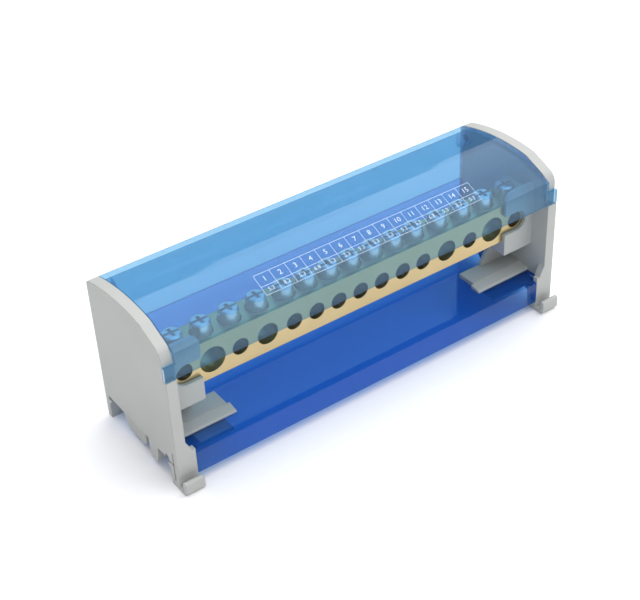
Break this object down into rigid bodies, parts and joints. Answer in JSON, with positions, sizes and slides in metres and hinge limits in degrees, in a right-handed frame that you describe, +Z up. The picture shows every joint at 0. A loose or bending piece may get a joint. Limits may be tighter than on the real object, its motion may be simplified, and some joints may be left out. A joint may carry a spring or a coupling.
{
  "type": "power distribution block",
  "caption": "Rail-mounted distribution block: a brass busbar of screw-clamped wire holes between two end caps, over a tray and under a hinged see-through cover.",
  "frame": {"origin": "centre of the bounding box's underside, on the surface that the latches stand on", "axes": "+X along the block, -Y towards the wire side, +Z up"},
  "size_m": [0.14, 0.045, 0.0525],
  "materials": {
    "cap_plastic": "light grey moulded plastic, fine satin",
    "tray_plastic": "deep blue moulded plastic, glossy",
    "cover_plastic": "see-through light blue moulded plastic, polished",
    "bar_brass": "machined brass, drawn lengthwise",
    "screw_steel": "zinc-plated steel"
  },
  "bodies": {
    "housing": {"left_cap": "cap_plastic", "right_cap": "cap_plastic", "base_tray": "tray_plastic", "busbar": "bar_brass"},
    "cover": {"cover": "cover_plastic"},
    "screw_01": {"screw_01": "screw_steel"},
    "screw_02": {"screw_02": "screw_steel"},
    "screw_03": {"screw_03": "screw_steel"},
    "screw_04": {"screw_04": "screw_steel"},
    "screw_05": {"screw_05": "screw_steel"},
    "screw_06": {"screw_06": "screw_steel"},
    "screw_07": {"screw_07": "screw_steel"},
    "screw_08": {"screw_08": "screw_steel"},
    "screw_09": {"screw_09": "screw_steel"},
    "screw_10": {"screw_10": "screw_steel"},
    "screw_11": {"screw_11": "screw_steel"},
    "screw_12": {"screw_12": "screw_steel"},
    "screw_13": {"screw_13": "screw_steel"},
    "screw_14": {"screw_14": "screw_steel"},
    "screw_15": {"screw_15": "screw_steel"}
  },
  "joints": [
    {"name": "cover_hinge", "type": "hinge", "parent": "housing", "child": "cover", "pos_m": [0, 0.0195, 0.0461], "axis": [-1, 0, 0], "range_deg": [0, 100]},
    {"name": "screw_01_travel", "type": "slide", "parent": "housing", "child": "screw_01", "axis": [0, 0, -1], "range_m": [0, 0.0046]},
    {"name": "screw_02_travel", "type": "slide", "parent": "housing", "child": "screw_02", "axis": [0, 0, -1], "range_m": [0, 0.0075]},
    {"name": "screw_03_travel", "type": "slide", "parent": "housing", "child": "screw_03", "axis": [0, 0, -1], "range_m": [0, 0.0046]},
    {"name": "screw_04_travel", "type": "slide", "parent": "housing", "child": "screw_04", "axis": [0, 0, -1], "range_m": [0, 0.0061]},
    {"name": "screw_05_travel", "type": "slide", "parent": "housing", "child": "screw_05", "axis": [0, 0, -1], "range_m": [0, 0.0046]},
    {"name": "screw_06_travel", "type": "slide", "parent": "housing", "child": "screw_06", "axis": [0, 0, -1], "range_m": [0, 0.0046]},
    {"name": "screw_07_travel", "type": "slide", "parent": "housing", "child": "screw_07", "axis": [0, 0, -1], "range_m": [0, 0.0046]},
    {"name": "screw_08_travel", "type": "slide", "parent": "housing", "child": "screw_08", "axis": [0, 0, -1], "range_m": [0, 0.0046]},
    {"name": "screw_09_travel", "type": "slide", "parent": "housing", "child": "screw_09", "axis": [0, 0, -1], "range_m": [0, 0.0046]},
    {"name": "screw_10_travel", "type": "slide", "parent": "housing", "child": "screw_10", "axis": [0, 0, -1], "range_m": [0, 0.0046]},
    {"name": "screw_11_travel", "type": "slide", "parent": "housing", "child": "screw_11", "axis": [0, 0, -1], "range_m": [0, 0.0046]},
    {"name": "screw_12_travel", "type": "slide", "parent": "housing", "child": "screw_12", "axis": [0, 0, -1], "range_m": [0, 0.0061]},
    {"name": "screw_13_travel", "type": "slide", "parent": "housing", "child": "screw_13", "axis": [0, 0, -1], "range_m": [0, 0.0046]},
    {"name": "screw_14_travel", "type": "slide", "parent": "housing", "child": "screw_14", "axis": [0, 0, -1], "range_m": [0, 0.0075]},
    {"name": "screw_15_travel", "type": "slide", "parent": "housing", "child": "screw_15", "axis": [0, 0, -1], "range_m": [0, 0.0046]}
  ]
}
